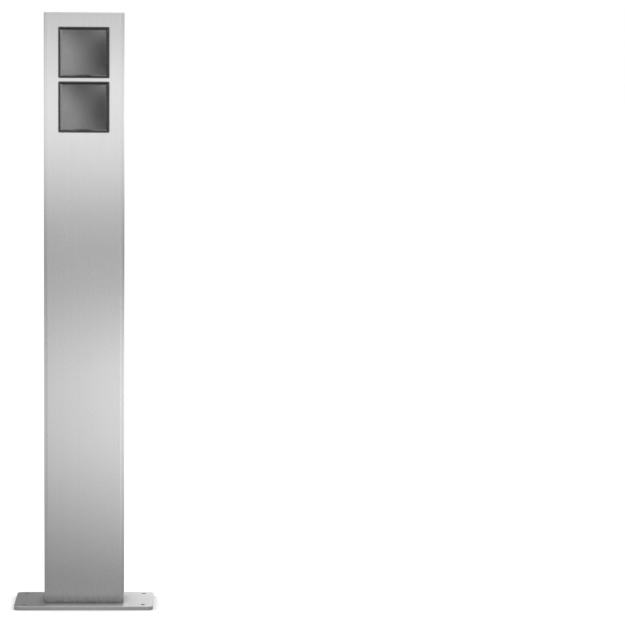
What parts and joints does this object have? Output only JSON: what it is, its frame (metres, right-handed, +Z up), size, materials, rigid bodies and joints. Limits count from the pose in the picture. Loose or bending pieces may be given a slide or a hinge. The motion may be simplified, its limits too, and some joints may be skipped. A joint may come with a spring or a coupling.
{
  "type": "outdoor power column",
  "caption": "Free-standing brushed steel power column on a bolted base plate, with earthed socket outlets behind sprung flaps.",
  "frame": {"origin": "middle of the base plate's underside", "axes": "+Z up the column, -Y out of the face that carries the socket outlets, +X to the right of a person facing them"},
  "size_m": [0.21, 0.12, 0.9],
  "materials": {
    "brushed_stainless": "vertical brushed grain",
    "zinc_steel": "bright zinc plating",
    "black_rubber": "soft matt",
    "grey_plastic": "matt moulding",
    "blue_plastic": "matt moulding",
    "green_plastic": "matt moulding",
    "anthracite_plastic": "fine satin moulding",
    "spring_steel": "drawn wire",
    "black_plastic": "matt moulding",
    "nickel_brass": "stamped strip"
  },
  "bodies": {
    "column": {"column_tube": "brushed_stainless", "top_cap": "brushed_stainless", "base_plate": "brushed_stainless", "foot_weld": "zinc_steel", "cable_bush": "black_rubber", "service_cover": "brushed_stainless", "service_gasket": "black_rubber", "service_screws": "zinc_steel", "rivet_nuts": "zinc_steel", "socket_carrier": "zinc_steel", "rail_studs": "zinc_steel", "din_rail": "zinc_steel", "rail_nuts": "zinc_steel", "end_stops": "grey_plastic", "earth_stud": "zinc_steel", "earth_washer": "zinc_steel", "earth_nut": "zinc_steel", "terminal_line": "grey_plastic", "terminal_neutral": "blue_plastic", "terminal_earth": "green_plastic", "bezel_upper": "anthracite_plastic", "bezel_lower": "anthracite_plastic", "bezel_gasket_upper": "black_rubber", "bezel_gasket_lower": "black_rubber", "bezel_screws_upper": "zinc_steel", "bezel_screws_lower": "zinc_steel", "flap_pin_upper": "spring_steel", "flap_pin_lower": "spring_steel", "flap_spring_upper": "spring_steel", "flap_spring_lower": "spring_steel", "flap_seal_upper": "black_rubber", "flap_seal_lower": "black_rubber", "socket_face_upper": "anthracite_plastic", "socket_face_lower": "anthracite_plastic", "face_screw_upper": "zinc_steel", "face_screw_lower": "zinc_steel", "socket_base_upper": "black_plastic", "socket_base_lower": "black_plastic", "contacts_upper": "nickel_brass", "contacts_lower": "nickel_brass", "earth_clip_upper": "nickel_brass", "earth_clip_lower": "nickel_brass"},
    "lid_upper": {"flap_upper": "anthracite_plastic"},
    "disc_upper": {"shutter_upper": "black_plastic"},
    "lid_lower": {"flap_lower": "anthracite_plastic"},
    "disc_lower": {"shutter_lower": "black_plastic"}
  },
  "joints": [
    {"name": "flap_hinge_upper", "type": "hinge", "parent": "column", "child": "lid_upper", "pos_m": [0, -0.0283, 0.87245], "axis": [-1, 0, 0], "range_deg": [0, 100], "stiffness_Nm_per_rad": 0.03, "springref_deg": -28.65, "deforming": ["flap_spring_upper"]},
    {"name": "shutter_turn_upper", "type": "hinge", "parent": "column", "child": "disc_upper", "pos_m": [0, -0.001, 0.84025], "axis": [0, 1, 0], "range_deg": [0, 38], "stiffness_Nm_per_rad": 0.002, "springref_deg": -17.19},
    {"name": "flap_hinge_lower", "type": "hinge", "parent": "column", "child": "lid_lower", "pos_m": [0, -0.0283, 0.79095], "axis": [-1, 0, 0], "range_deg": [0, 100], "stiffness_Nm_per_rad": 0.03, "springref_deg": -28.65, "deforming": ["flap_spring_lower"]},
    {"name": "shutter_turn_lower", "type": "hinge", "parent": "column", "child": "disc_lower", "pos_m": [0, -0.001, 0.75875], "axis": [0, 1, 0], "range_deg": [0, 38], "stiffness_Nm_per_rad": 0.002, "springref_deg": -17.19}
  ]
}
